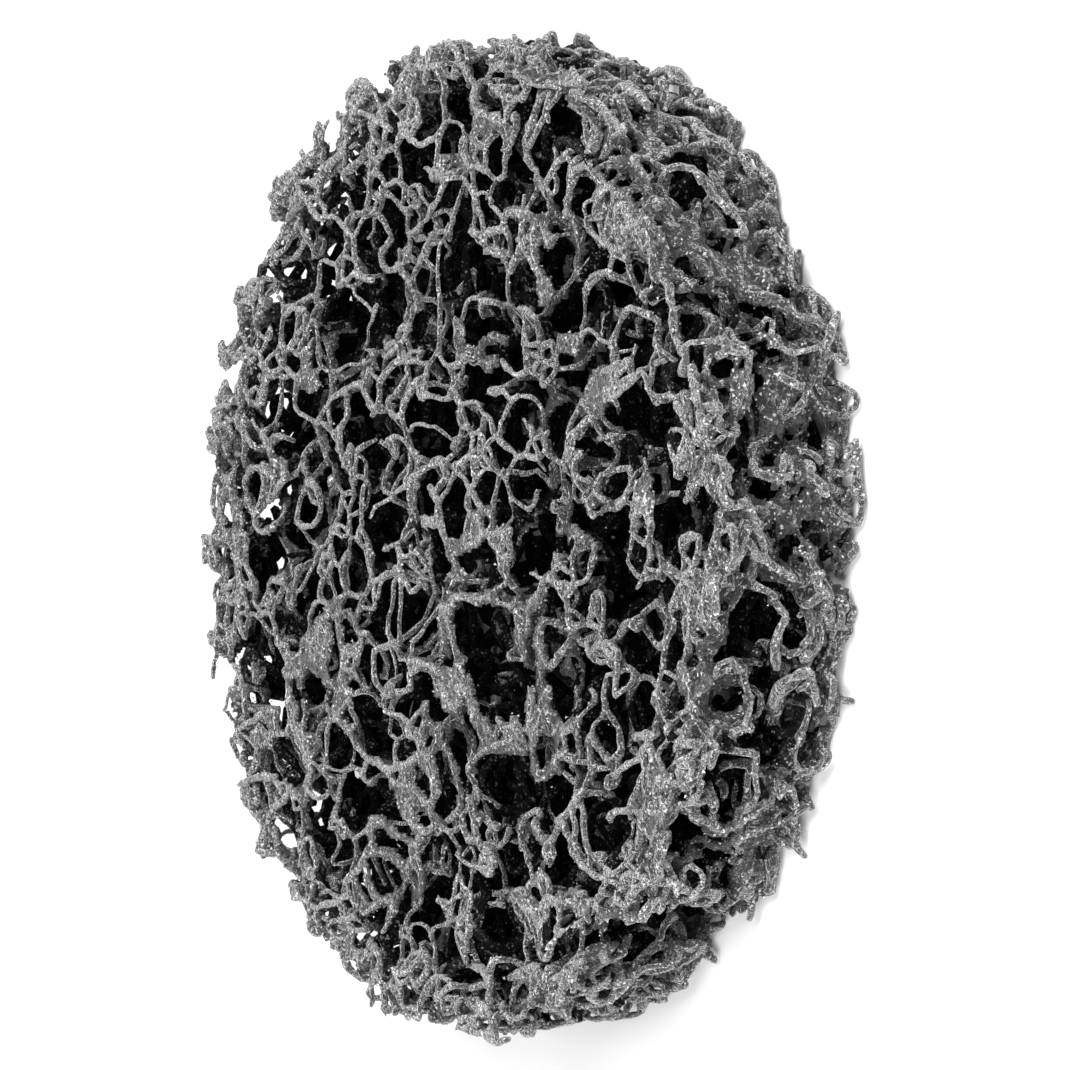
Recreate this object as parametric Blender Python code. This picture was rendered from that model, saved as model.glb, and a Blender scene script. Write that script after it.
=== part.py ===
"""Open non-woven cleaning disc, a bonded web of crimped filaments.

Each layer is a row of lanes, and one coiled filament runs along each lane. The
layers are turned against each other, the filaments are drawn together where they
pass close by, and they fuse there. The web is then punched to a round disc with
two flat faces and a ragged rim that eases into them, and the ends that the punch
cuts loose fall away.
"""

import math

import bmesh
import bpy
import numpy as np
from mathutils import Matrix, Vector
from mathutils.kdtree import KDTree

# Overall size after the punch, in metres
disc_diameter = 0.075
disc_thickness = 0.013

# Filament and the coils it is crimped into
filament_diameter = 0.00145
coil_radius = 0.0035
coil_advance = 0.0078
lane_spacing = 0.0068
layer_count = 2
layer_spacing = 0.0065
layer_turn_deg = 72.0

# How far the coils stray from a plain helix, and over what length
stray_length = 0.0100
radius_stray = 0.0010
lane_wander = 0.0011
coil_lean_deg = 40.0
coil_tilt_deg = 36.0
coil_yaw_deg = 120.0
seed_turn = 0.618034

# How the cut rim eases into the faces, and how far it strays in, in that many lobes,
# which are multiples of four so that the full diameter is kept along X and Y
rim_easing = 0.0013
rim_stray = 0.0005
rim_lobes = (8, 12, 20)

# Bonds between filaments, and how much of a filament the flat faces shave off
bond_gap = 0.0008
bond_length = 0.0028
bond_spacing = 0.0035
shaved_depth = 0.00042
face_easing = 0.0006

# Fineness of the model
point_step = 0.0007
web_grain = 0.0004
facet_count = 11100
punch_sides = 96
easing_steps = 3


def wave(position, seed, periods):
    """A smooth unrepeating wave between about -1 and 1.

    The periods it sums are given as shares of the stray length.
    """
    total = 0.0
    for order, period in enumerate(periods, start=1):
        phase = seed * seed_turn * order * 1.7
        total += math.sin(2 * math.pi * (position / stray_length / period + phase)) / order
    return total / 1.6


def eased_height(height):
    """Bend a height back so that the filament stays between the two faces."""
    low = filament_diameter / 2 - shaved_depth
    high = disc_thickness - low
    if height < low + face_easing:
        return low + face_easing * math.exp((height - low - face_easing) / face_easing)
    if height > high - face_easing:
        return high - face_easing * math.exp((high - face_easing - height) / face_easing)
    return height


def coiled_filament(offset, height, half_length, seed, lean):
    """Points of one filament that coils along X at a given offset in Y."""
    points = []
    along = -half_length
    while along < half_length:
        radius = coil_radius + radius_stray * wave(along, seed, (1.1, 0.67))
        tilt = math.radians(coil_tilt_deg) * wave(along, seed + 5, (1.9, 0.9)) + lean
        yaw = math.radians(coil_yaw_deg) * wave(along, seed + 9, (2.3, 1.3))
        drift = lane_wander * wave(along, seed + 4, (3.0,))
        turns = along / coil_advance + seed * seed_turn + 0.25 * wave(along, seed + 2, (1.7,))
        angle = 2 * math.pi * turns
        loop = Vector((radius * math.cos(angle), radius * math.sin(angle), 0.0))
        loop.rotate(Matrix.Rotation(tilt, 3, "X"))
        loop.rotate(Matrix.Rotation(yaw, 3, "Z"))
        points.append((along + loop.x, offset + drift + loop.y, eased_height(height + loop.z)))
        along += point_step * coil_advance / math.hypot(coil_advance, 2 * math.pi * radius)
    return points


def laid_filaments():
    """All filaments, layer by layer, each layer turned against the one below."""
    filaments = []
    reach = disc_diameter / 2 + filament_diameter
    lanes = 2 * math.floor(reach / lane_spacing) + 1
    for layer in range(layer_count):
        height = disc_thickness / 2 + (layer - (layer_count - 1) / 2) * layer_spacing
        heading = Matrix.Rotation(math.radians(layer_turn_deg) * layer, 3, "Z")
        lean = math.radians(coil_lean_deg) * (1 if layer % 2 else -1)
        for lane in range(lanes):
            offset = (lane - (lanes - 1) / 2) * lane_spacing
            half_length = math.sqrt(reach**2 - offset**2)
            seed = layer * 31 + lane * 7 + 3
            points = coiled_filament(offset, height, half_length, seed, lean)
            if len(points) * point_step > 4 * coil_radius:
                filaments.append(np.array([heading @ Vector(point) for point in points]))
    return filaments


def close_pairs(points, owner, place):
    """Pairs of points on filaments, or on turns of one, that pass within a bond's reach."""
    tree = KDTree(len(points))
    for index, point in enumerate(points):
        tree.insert(point, index)
    tree.balance()
    apart = round(2 * coil_radius / point_step)
    pairs = set()
    for index in range(0, len(points), max(1, round(bond_spacing / point_step))):
        near = tree.find_range(points[index], filament_diameter + bond_gap)
        near = [
            (distance, other)
            for _, other, distance in near
            if owner[other] != owner[index] or abs(place[other] - place[index]) > apart
        ]
        if near:
            other = min(near)[1]
            pairs.add((min(index, other), max(index, other)))
    return sorted(pairs)


def bonded(filaments):
    """Draw filaments together where they pass close by, so that they overlap and fuse."""
    lengths = [len(filament) for filament in filaments]
    starts = np.concatenate([[0], np.cumsum(lengths)])
    points = np.vstack(filaments)
    owner = np.repeat(np.arange(len(filaments)), lengths)
    place = np.concatenate([np.arange(length) for length in lengths])
    pairs = close_pairs(points, owner, place)
    reach = max(2, round(bond_length / 2 / point_step))
    falloff = 0.5 + 0.5 * np.cos(np.linspace(-math.pi, math.pi, 2 * reach + 1))
    touching = filament_diameter * 0.5
    for _ in range(5):
        move = np.zeros_like(points)
        weight = np.zeros(len(points))
        for first, second in pairs:
            gap = points[second] - points[first]
            distance = max(np.linalg.norm(gap), 1e-9)
            pull = gap * max(0.0, 1 - touching / distance) / 2
            for centre, shift in ((first, pull), (second, -pull)):
                low = max(starts[owner[centre]], centre - reach)
                high = min(starts[owner[centre] + 1], centre + reach + 1)
                share = falloff[low - centre + reach : high - centre + reach]
                move[low:high] += share[:, None] * shift
                weight[low:high] += share
        points += move / np.maximum(weight, 1)[:, None]
    return np.split(points, starts[1:-1])


def filament_tubes(filaments):
    """One curve object whose splines are the filaments, with closed round sections."""
    curve = bpy.data.curves.new("filaments", "CURVE")
    curve.dimensions = "3D"
    curve.bevel_depth = filament_diameter / 2
    curve.bevel_resolution = 2
    curve.use_fill_caps = True
    for filament in filaments:
        spline = curve.splines.new("POLY")
        spline.points.add(len(filament) - 1)
        for point, place in zip(spline.points, filament):
            point.co = (*place, 1.0)
    tubes = bpy.data.objects.new("filaments", curve)
    bpy.context.scene.collection.objects.link(tubes)
    return tubes


def evaluated_mesh(obj):
    """The object's mesh with its modifiers applied."""
    bpy.context.view_layer.update()
    graph = bpy.context.evaluated_depsgraph_get()
    return bpy.data.meshes.new_from_object(obj.evaluated_get(graph))


def rim_radius(angle):
    """The radius that the punch cuts at, a little inside the full one at most angles."""
    stray = sum(math.cos(lobes * angle) for lobes in rim_lobes) / len(rim_lobes)
    return disc_diameter / 2 - rim_stray * (1 - stray) / 2


def punch_profile():
    """Inset and height of the punch's wall from its lower face to its upper one."""
    turns = [math.pi / 2 * step / easing_steps for step in range(easing_steps + 1)]
    lower = [(rim_easing * (1 - math.sin(turn)), rim_easing * (1 - math.cos(turn))) for turn in turns]
    return lower + [(inset, disc_thickness - height) for inset, height in reversed(lower)]


def make_punch():
    """The ragged-sided die, eased at both faces, that the disc is cut with."""
    die = bmesh.new()
    angles = [2 * math.pi * side / punch_sides for side in range(punch_sides)]
    rings = []
    for inset, height in punch_profile():
        ring = []
        for angle in angles:
            out = rim_radius(angle) - inset
            ring.append(die.verts.new((out * math.cos(angle), out * math.sin(angle), height)))
        rings.append(ring)
    for lower, upper in zip(rings, rings[1:]):
        for side in range(punch_sides):
            after = (side + 1) % punch_sides
            die.faces.new((lower[side], lower[after], upper[after], upper[side]))
    die.faces.new(reversed(rings[0]))
    die.faces.new(rings[-1])
    mesh = bpy.data.meshes.new("punch")
    die.to_mesh(mesh)
    die.free()
    punch = bpy.data.objects.new("punch", mesh)
    bpy.context.scene.collection.objects.link(punch)
    punch.hide_render = True
    punch.display_type = "WIRE"
    return punch


def fuse_and_punch(web, punch):
    """Fuse the tubes into one skin, thin out its facets and cut the disc from it."""
    fuse = web.modifiers.new("fuse", "REMESH")
    fuse.mode = "VOXEL"
    fuse.voxel_size = web_grain
    skin_triangles = 2 * len(evaluated_mesh(web).polygons)
    soften = web.modifiers.new("soften", "SMOOTH")
    soften.factor = 0.5
    soften.iterations = 1
    thin = web.modifiers.new("thin", "DECIMATE")
    thin.ratio = min(1.0, facet_count / skin_triangles)
    thin.use_collapse_triangulate = True
    cut = web.modifiers.new("cut", "BOOLEAN")
    cut.operation = "INTERSECT"
    cut.object = punch
    cut.solver = "MANIFOLD"
    punched = evaluated_mesh(web)
    web.modifiers.clear()
    web.data = punched


def connected_bodies(mesh):
    """Lists of the vertices that hang together, one list for each body."""
    bodies = []
    reached = set()
    for start in mesh.verts:
        if start in reached:
            continue
        reached.add(start)
        body = [start]
        for vertex in body:
            for edge in vertex.link_edges:
                other = edge.other_vert(vertex)
                if other not in reached:
                    reached.add(other)
                    body.append(other)
        bodies.append(body)
    return bodies


def drop_loose_ends(web):
    """Keep the one bonded body, without the cuttings that hang on nothing."""
    mesh = bmesh.new()
    mesh.from_mesh(web.data)
    bodies = sorted(connected_bodies(mesh), key=len)
    for cutting in bodies[:-1]:
        bmesh.ops.delete(mesh, geom=cutting, context="VERTS")
    bmesh.ops.triangulate(mesh, faces=mesh.faces[:])
    mesh.to_mesh(web.data)
    mesh.free()


def coated_fibre():
    """Dark grey coated nylon with a dull shine."""
    material = bpy.data.materials.new("coated_fibre")
    material.use_nodes = True
    shader = material.node_tree.nodes["Principled BSDF"]
    shader.inputs["Base Color"].default_value = (0.140, 0.140, 0.140, 1.0)
    shader.inputs["Roughness"].default_value = 0.55
    shader.inputs["Metallic"].default_value = 0.0
    return material


def main():
    for obj in list(bpy.data.objects):
        bpy.data.objects.remove(obj)
    tubes = filament_tubes(bonded(laid_filaments()))
    web = bpy.data.objects.new("filament_web", evaluated_mesh(tubes))
    bpy.context.scene.collection.objects.link(web)
    bpy.data.objects.remove(tubes)
    fuse_and_punch(web, make_punch())
    drop_loose_ends(web)
    web.data.materials.clear()
    web.data.materials.append(coated_fibre())
    web.data.shade_smooth()
    web.data.set_sharp_from_angle(angle=math.radians(50))


main()
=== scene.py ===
import math

import bpy
import numpy as np
from mathutils import Matrix, Vector
from mathutils.kdtree import KDTree


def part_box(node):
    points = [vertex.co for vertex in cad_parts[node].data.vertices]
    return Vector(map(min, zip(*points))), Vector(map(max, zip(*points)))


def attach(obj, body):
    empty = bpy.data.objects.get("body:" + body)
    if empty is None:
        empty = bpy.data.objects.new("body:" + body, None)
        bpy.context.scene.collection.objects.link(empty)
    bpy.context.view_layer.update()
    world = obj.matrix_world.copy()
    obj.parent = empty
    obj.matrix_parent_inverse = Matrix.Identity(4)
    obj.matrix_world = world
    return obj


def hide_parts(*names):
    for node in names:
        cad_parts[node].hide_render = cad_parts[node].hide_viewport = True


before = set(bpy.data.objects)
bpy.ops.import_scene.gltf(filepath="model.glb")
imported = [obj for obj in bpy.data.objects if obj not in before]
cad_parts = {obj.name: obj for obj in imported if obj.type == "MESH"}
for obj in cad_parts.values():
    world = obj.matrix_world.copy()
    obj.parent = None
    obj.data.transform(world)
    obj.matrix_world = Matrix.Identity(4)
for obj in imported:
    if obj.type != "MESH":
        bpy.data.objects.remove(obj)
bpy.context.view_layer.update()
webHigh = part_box("filament_web")[1]
print("frame loaded")

# All lengths below are in millimetres, and turn into metres when a mesh is made
disc = {
    "radius": 37.5,
    "thick": 1000 * webHigh.z,
    "dish": 1.1,  # how far the faces dip between their highest loops
    "flatFrom": 31.0,  # the faces dip less from here to the rim
    "flatOver": 5.0,
    "flatShare": 0.55,
    "clearAbove": 1.15,  # how many coats a filament's middle keeps below the upper face
    "clearBelow": 1.25,  # and above the lower one
    "corner": 0.9,  # how far the rim draws in at the two faces
    "cornerHeight": 2.2,
    "beyond": 1.0,  # how far the cut ends spring out past the nominal radius
    "ragged": 1.5,  # how far the cut rim strays in and out
    "farthest": 39.4,  # no loop reaches past this
}

# The camera looks down on the lying disc, with the near edge at the picture's right
shot = {
    "elevation": 32.5,
    "distance": 239.6,
    "spanPixels": 970.0,  # what the diameter would take up at that distance
    "framePixels": 1070.0,
    "discAt": (497.0, 536.0),
    "sensorWidth": 36.0,
}

goldenAngle = 2.39996  # turns places laid one after another into an even spread


def cameraFrame():
    rise = math.radians(shot["elevation"])
    back = np.array((0.0, -math.cos(rise), math.sin(rise)))
    right = np.array((0.0, -math.sin(rise), -math.cos(rise)))
    up = np.array((1.0, 0.0, 0.0))
    perMm = shot["spanPixels"] / (2 * disc["radius"])
    half = shot["framePixels"] / 2
    place = np.array((0.0, 0.0, disc["thick"] / 2)) + back * shot["distance"]
    place = place + right * (half - shot["discAt"][0]) / perMm
    place = place + up * (shot["discAt"][1] - half) / perMm
    return place, right, up, back, perMm * shot["distance"]


eye, eyeRight, eyeUp, eyeBack, focalPixels = cameraFrame()


def sightline(x, y):
    # the way from the camera through a place in the frame
    half = shot["framePixels"] / 2
    way = (x - half) * eyeRight - (y - half) * eyeUp - focalPixels * eyeBack
    return way / np.linalg.norm(way)


def atHeight(height, x, y):
    # where that line reaches a height
    way = sightline(x, y)
    return eye + way * (height - eye[2]) / way[2]


def drift(rng, where, period, count=None):
    # smooth noise between -1 and 1 along one strand, or along each of several
    spot = (where - where[0]) / period
    values = rng.uniform(-1, 1, (count or 1, int(spot[-1]) + 3))
    cell = spot.astype(int)
    part = spot - cell
    part = part * part * (3 - 2 * part)
    value = values[:, cell] * (1 - part) + values[:, cell + 1] * part
    return value if count else value[0]


class Relief:
    # smooth noise over a plane or round the rim, between -1 and 1, that repeats after size periods
    def __init__(self, seed, period, size=64):
        self.period = period
        self.size = size
        self.away = 500 * size  # whole repeats, which keep every index above zero
        self.values = np.random.default_rng(seed).uniform(-1, 1, (size, size))

    def at(self, u, v):
        u = np.asarray(u) / self.period + self.away
        v = np.asarray(v) / self.period + self.away
        i, j = np.floor(u).astype(int), np.floor(v).astype(int)
        a, b = u - i, v - j
        a, b = a * a * (3 - 2 * a), b * b * (3 - 2 * b)
        grid, n = self.values, self.size
        near = grid[i % n, j % n] * (1 - b) + grid[i % n, (j + 1) % n] * b
        far = grid[(i + 1) % n, j % n] * (1 - b) + grid[(i + 1) % n, (j + 1) % n] * b
        return near * (1 - a) + far * a


faceRelief = Relief(3, 5.5)
backRelief = Relief(4, 6.0)
rimRelief = Relief(5, 4.2)
rimFine = Relief(6, 1.9)


def evenSteps(points, step):
    # the same line with its points a set distance apart
    run = np.concatenate([[0.0], np.cumsum(np.linalg.norm(np.diff(points, axis=0), axis=1))])
    count = max(2, int(run[-1] / step))
    at = np.linspace(0, run[-1], count)
    return np.stack([np.interp(at, run, points[:, k]) for k in range(3)], axis=1)


# How every filament curls: bend is in radians over a millimetre, kink in radians at one place
crimp = {
    "step": 0.3,
    "meanCurl": 0.62,
    "curlSwing": 0.85,
    "curlRange": (0.05, 1.25),
    "between": (0.8, 1.25),  # how much filaments differ
    "kink": (0.5, 1.3),
    "twistPeriod": 3.4,
}


def crimped(rng, count, length, look):
    # filaments that curl, run straight and kink, each as points about its own middle
    step = crimp["step"]
    s = np.arange(0.0, length, step)
    curl = drift(rng, s, look["curlEvery"], count)
    curl = np.clip(crimp["meanCurl"] + crimp["curlSwing"] * curl, *crimp["curlRange"])
    bend = look["bend"] * curl * rng.uniform(*crimp["between"], (count, 1))
    kinked = rng.random(bend.shape) < step / look["kinkEvery"]
    bend = bend * step + kinked * rng.uniform(*crimp["kink"], bend.shape)
    twist = look["twist"] * drift(rng, s, crimp["twistPeriod"], count) * step
    heading = rng.uniform(0, 2 * math.pi, count)
    ahead = np.stack([np.cos(heading), np.sin(heading), np.zeros(count)], axis=1)
    aside = rng.normal(size=(count, 3))
    points = np.zeros((count, len(s), 3))
    for k in range(1, len(s)):
        aside = aside - ahead * (aside * ahead).sum(axis=1, keepdims=True)
        aside = aside / np.linalg.norm(aside, axis=1, keepdims=True)
        across = np.cross(ahead, aside)
        turn, roll = bend[:, k, None], twist[:, k, None]
        forward = ahead * np.cos(turn) + aside * np.sin(turn)
        aside = aside * np.cos(turn) - ahead * np.sin(turn)
        ahead = forward
        aside = aside * np.cos(roll) + across * np.sin(roll)
        points[:, k] = points[:, k - 1] + ahead * step
    return points - points.mean(axis=1, keepdims=True)


def eased(height, low, high, soft=0.5):
    # bends heights back so that they stay between low and high
    height = np.where(height > high - soft, high - soft * np.exp(-(height - high + soft) / soft), height)
    return np.where(height < low + soft, low + soft * np.exp((height - low - soft) / soft), height)


def withinFaces(points, coat):
    x, y = points[:, 0], points[:, 1]
    rimward = np.clip((np.hypot(x, y) - disc["flatFrom"]) / disc["flatOver"], 0, 1)
    dish = disc["dish"] * (1 - disc["flatShare"] * rimward)
    top = disc["thick"] - coat * disc["clearAbove"] - dish * (0.5 + 0.5 * faceRelief.at(x, y)) ** 1.5
    bottom = disc["clearBelow"] * coat + dish * (0.5 + 0.5 * backRelief.at(x, y)) ** 1.5
    points[:, 2] = eased(points[:, 2], bottom, top)
    return points


# Layers of crimped filament, from the upper face down: depth is from that face, share is the length of
# filament over each square millimetre, lift how far a filament climbs out of its layer, and coat the
# radius of filament and coat together
usualLook = {"curlEvery": 2.8, "kinkEvery": 5.0, "bend": 0.50, "twist": 0.75}
innerLook = dict(usualLook, piece="middle_loops", bend=0.48, twist=0.8)
layerLooks = [
    dict(usualLook, piece="face_loops", depth=0.8, share=0.66, lift=0.8, twist=0.65, coat=(0.15, 0.24)),
    dict(usualLook, piece="second_loops", depth=2.1, share=0.62, lift=1.4, coat=(0.15, 0.25)),
    dict(innerLook, depth=3.9, share=0.95, lift=1.5, coat=(0.30, 0.40)),
    dict(innerLook, depth=6.0, share=1.0, lift=1.6, coat=(0.34, 0.42)),
    dict(innerLook, depth=8.2, share=1.0, lift=1.6, coat=(0.34, 0.42)),
    dict(innerLook, depth=9.6, share=1.0, lift=1.2, coat=(0.36, 0.46)),
    dict(usualLook, piece="back_loops", depth=10.9, share=0.74, lift=1.4, coat=(0.29, 0.38)),
    dict(usualLook, piece="back_loops", depth=12.2, share=0.62, lift=0.8, twist=0.65, coat=(0.22, 0.32)),
]
layerLength = 44.0

# Thin short filaments with little coat that spring up over the face
hairLook = dict(
    usualLook, piece="hairs", depth=0.7, share=0.12, lift=1.3, bend=0.22, twist=0.5, coat=(0.12, 0.17))
hairLength = 12.0

# Filaments that run every way in the cut rim, with their depth from its surface
cutLook = dict(usualLook, piece="rim_loops")
rimLooks = [
    dict(cutLook, depth=0.7, share=0.84, lift=0.8, bend=0.52, twist=0.65, coat=(0.17, 0.27)),
    dict(cutLook, depth=2.3, share=0.78, lift=1.2, coat=(0.19, 0.29)),
    dict(usualLook, piece="middle_loops", depth=4.2, share=0.85, lift=1.2, coat=(0.30, 0.40)),
]
rimLength = 22.0
rimSpread = 0.36  # how far from mid height their middles lie, as a share of the thickness
rimFlatten = 0.8

# Filaments that follow the two edges of the rim, in lanes: distance in from the rim, height
edgeLook = dict(usualLook, piece="edge_loops", lift=0.9, spread=1.2, twist=0.7, coat=(0.19, 0.29))
edgeLanes = (
    (1.0, 12.2), (2.4, 11.6), (4.0, 11.9), (2.0, 9.8), (1.0, 1.0),
    (2.2, 1.9), (1.2, 3.4), (3.6, 1.4), (0.1, 11.8), (0.3, 9.4),
)
edgeLength = 26.0
edgeSpacing = 12.0  # from one filament's middle to the next in a lane
laneShift = 0.13

pieceLooks = {
    "face_loops": {"step": 0.34, "sides": 7},
    "second_loops": {"step": 0.37, "sides": 6},
    "rim_loops": {"step": 0.38, "sides": 6},
    "edge_loops": {"step": 0.40, "sides": 6},
    "hairs": {"step": 0.34, "sides": 6},
    "middle_loops": {"step": 0.68, "sides": 4},
    "back_loops": {"step": 0.48, "sides": 5},
}


def held(height, lift):
    return lift * np.tanh(height / lift)


def strand(piece, coat, points):
    return [piece, coat, evenSteps(points, pieceLooks[piece]["step"])]


def coatedStrand(rng, look, points):
    coat = rng.uniform(*look["coat"])
    return strand(look["piece"], coat, withinFaces(points, coat))


def upright(out, angle, height):
    # points given by their distance from the disc's axis, their angle about it and their height
    return np.stack([out * np.cos(angle), out * np.sin(angle), height], axis=1)


def layerStrands():
    laid = []
    lengths = [layerLength] * len(layerLooks) + [hairLength]
    for number, (look, length) in enumerate(zip(layerLooks + [hairLook], lengths)):
        rng = np.random.default_rng(100 + number)
        reach = disc["radius"] + 1.0
        count = int(look["share"] * math.pi * reach**2 / length)
        local = crimped(rng, count, length, look)
        for k in range(count):
            out, angle = reach * math.sqrt((k + 0.5) / count), goldenAngle * k + number
            points = local[k] + (out * math.cos(angle), out * math.sin(angle), 0.0)
            points[:, 2] = disc["thick"] - look["depth"] + held(points[:, 2], look["lift"])
            laid.append(coatedStrand(rng, look, points))
    return laid


def rimStrands():
    laid = []
    for number, look in enumerate(rimLooks):
        rng = np.random.default_rng(200 + number)
        around = disc["radius"] - look["depth"]
        count = int(look["share"] * 2 * math.pi * around * disc["thick"] / rimLength)
        local = crimped(rng, count, rimLength, look)
        for k in range(count):
            angle = local[k][:, 0] / around + 2 * math.pi * k / count
            middle = disc["thick"] * (0.5 + rimSpread * math.sin(goldenAngle * k))
            height = middle + local[k][:, 1] * rimFlatten
            out = around + held(local[k][:, 2], look["lift"])
            laid.append(coatedStrand(rng, look, upright(out, angle, height)))
    return laid


def edgeStrands():
    laid = []
    rng = np.random.default_rng(300)
    for number, (inset, height) in enumerate(edgeLanes):
        around = disc["radius"] - inset
        count = int(2 * math.pi * around / edgeSpacing)
        local = crimped(rng, count, edgeLength, edgeLook)
        for k in range(count):
            angle = local[k][:, 0] / around + 2 * math.pi * (k + laneShift * number) / count
            out = around + held(local[k][:, 1], edgeLook["spread"])
            rise = height + held(local[k][:, 2], edgeLook["lift"])
            laid.append(coatedStrand(rng, edgeLook, upright(out, angle, rise)))
    return laid


# Dark pits on the face, in the rim, and ways right through near the rim: place in the frame, radius
pits = [
    (289, 268, 1.0), (476, 332, 1.5), (428, 102, 1.3), (562, 128, 1.7), (669, 134, 1.3), (289, 449, 0.9),
    (375, 450, 1.4), (599, 455, 1.9), (535, 481, 1.3), (412, 608, 2.0), (471, 631, 1.9), (332, 738, 1.2),
    (289, 760, 0.8), (508, 786, 1.4), (498, 925, 1.8), (610, 735, 1.5), (388, 520, 1.7), (560, 250, 1.5),
    (350, 345, 1.4), (640, 415, 1.3), (440, 415, 1.3), (505, 680, 1.3), (330, 845, 1.0), (690, 325, 1.2),
    (600, 835, 1.5), (395, 870, 1.5), (270, 560, 0.8), (450, 520, 1.2),
]
wallPits = [
    (802, 535, 1.7), (792, 631, 1.4), (733, 695, 1.5), (797, 717, 1.5), (728, 369, 1.2), (760, 480, 1.0),
    (700, 860, 1.2), (758, 312, 1.1), (817, 440, 0.9), (748, 606, 1.3), (735, 790, 1.2), (640, 905, 1.1),
    (690, 190, 1.1),
]
openings = [
    (303, 278, 0.3), (298, 812, 0.2), (328, 915, 0.3), (763, 255, 0.7), (715, 125, 0.45), (690, 915, 0.5),
    (785, 600, 0.6), (812, 755, 0.7), (850, 500, 0.45), (768, 330, 0.5), (836, 392, 0.5),
]
channel = {
    "faceDepth": 4.6,
    "wallDepth": 3.6,
    "fade": 1.5,  # over this much of its depth a channel closes
    "margin": 2.4,  # what is pushed aside crowds into this much round a pit
    "openingMargin": 1.2,
    "openingDepth": 9.0,
}


def pushedClear(points, way, radius, deepest, margin):
    # moves what crosses a line of sight to the wall of an uneven channel round it, down to a given depth
    gap = points - eye
    off = gap - (gap @ way)[:, None] * way
    away = np.linalg.norm(off, axis=1)
    bearing = np.arctan2(off @ eyeUp, off @ eyeRight)
    phase = 40 * radius + 7 * way[0]  # differs from pit to pit, so that no two have the same outline
    bent = radius * (1 + 0.25 * np.sin(2 * bearing + 31 * phase) + 0.2 * np.sin(3 * bearing + 17 * phase))
    inside = (away < bent + margin) & (deepest > 0)
    target = bent + away * margin / (bent + margin)
    fade = np.clip(deepest / channel["fade"], 0, 1)
    shift = np.where(inside, (target - away) * fade / np.maximum(away, 1e-6), 0.0)
    return points + off * shift[:, None]


def clearChannels(points, share):
    # a strand gives way to a pit by its own share, so that pits keep uneven edges
    for x, y, radius in pits:
        deepest = points[:, 2] - disc["thick"] + channel["faceDepth"]
        points = pushedClear(points, sightline(x, y), radius * share, deepest, channel["margin"])
    for x, y, radius in wallPits:
        deepest = np.hypot(points[:, 0], points[:, 1]) - disc["radius"] + channel["wallDepth"]
        points = pushedClear(points, sightline(x, y), radius * share, deepest, channel["margin"])
    for x, y, radius in openings:
        deepest = np.full(len(points), channel["openingDepth"])
        points = pushedClear(points, sightline(x, y), radius, deepest, channel["openingMargin"])
    return points


# Hooks, stubs and loops that stand out past the rim: height, then places in the frame
strayEnds = [
    (12.5, (392, 130), (372, 118), (356, 110), (346, 98), (350, 84), (364, 78), (372, 86)),
    (12.3, (468, 85), (462, 66), (456, 52), (450, 44)),
    (12.5, (322, 225), (308, 205), (298, 188), (292, 170)),
    (12.5, (350, 890), (334, 903), (314, 906), (298, 897), (290, 884)),
    (12.5, (285, 800), (270, 812), (264, 828), (258, 844)),
    (12.5, (262, 712), (248, 722), (238, 730), (235, 742), (245, 750)),
    (12.5, (275, 770), (258, 777), (247, 781), (239, 785)),
    (11.5, (418, 105), (412, 86), (407, 72), (404, 64)),
    (7.0, (665, 110), (672, 92), (679, 76)),
    (0.7, (770, 315), (790, 300), (806, 287), (822, 300), (828, 322), (818, 338)),
    (0.8, (752, 176), (766, 194), (774, 210), (780, 228)),
    (1.5, (680, 110), (698, 100), (714, 103), (726, 113), (732, 128)),
    (0.8, (735, 188), (748, 177), (762, 176), (773, 186), (775, 200)),
    (0.6, (828, 380), (844, 386), (855, 393), (858, 404), (848, 411)),
    (0.6, (830, 482), (846, 488), (860, 496), (862, 511), (856, 526), (845, 521)),
    (0.6, (826, 690), (842, 696), (854, 700)),
    (0.7, (780, 780), (794, 791), (808, 799), (814, 810)),
    (0.7, (775, 825), (790, 837), (802, 848), (807, 858)),
]
strayLook = {"coat": 0.24, "finer": 8, "smoothings": 6}

# Knots of filament at the rim, each a few short turns wound at random: height, place in the frame, size
knots = [
    (11.9, 226, 350, 0.9), (11.9, 226, 402, 1.3), (11.8, 218, 440, 0.9), (11.8, 218, 548, 1.0),
    (11.9, 250, 798, 0.9), (12.0, 278, 205, 0.8), (12.0, 262, 850, 0.8), (11.9, 222, 640, 0.8),
    (1.2, 826, 345, 0.9), (1.2, 838, 605, 0.9), (1.2, 800, 760, 0.8),
]
knotLook = {
    "strands": 5,
    "turns": (0.7, 1.4),
    "points": 22,
    "wide": (0.75, 0.75, 0.5),
    "stray": (0.5, 0.5, 0.3),
    "coat": (0.2, 0.3),
    "clear": 0.26,
    "inset": 0.1,
}


def drawnIn(line, farthest):
    # no point of the line ends up farther out than this
    out = np.hypot(line[:, 0], line[:, 1])
    line[:, :2] = line[:, :2] * np.minimum(1, farthest / out)[:, None]
    return line


def strayStrands():
    strands = []
    for height, *places in strayEnds:
        corners = np.array([atHeight(height, x, y) for x, y in places])
        fine = np.linspace(0, len(corners) - 1, strayLook["finer"] * len(corners))
        line = np.stack([np.interp(fine, np.arange(len(corners)), corners[:, k]) for k in range(3)], axis=1)
        for _ in range(strayLook["smoothings"]):
            line[1:-1] = 0.5 * line[1:-1] + 0.25 * (line[:-2] + line[2:])
        strands.append(strand("edge_loops", strayLook["coat"], drawnIn(line, disc["farthest"])))
    return strands


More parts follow.
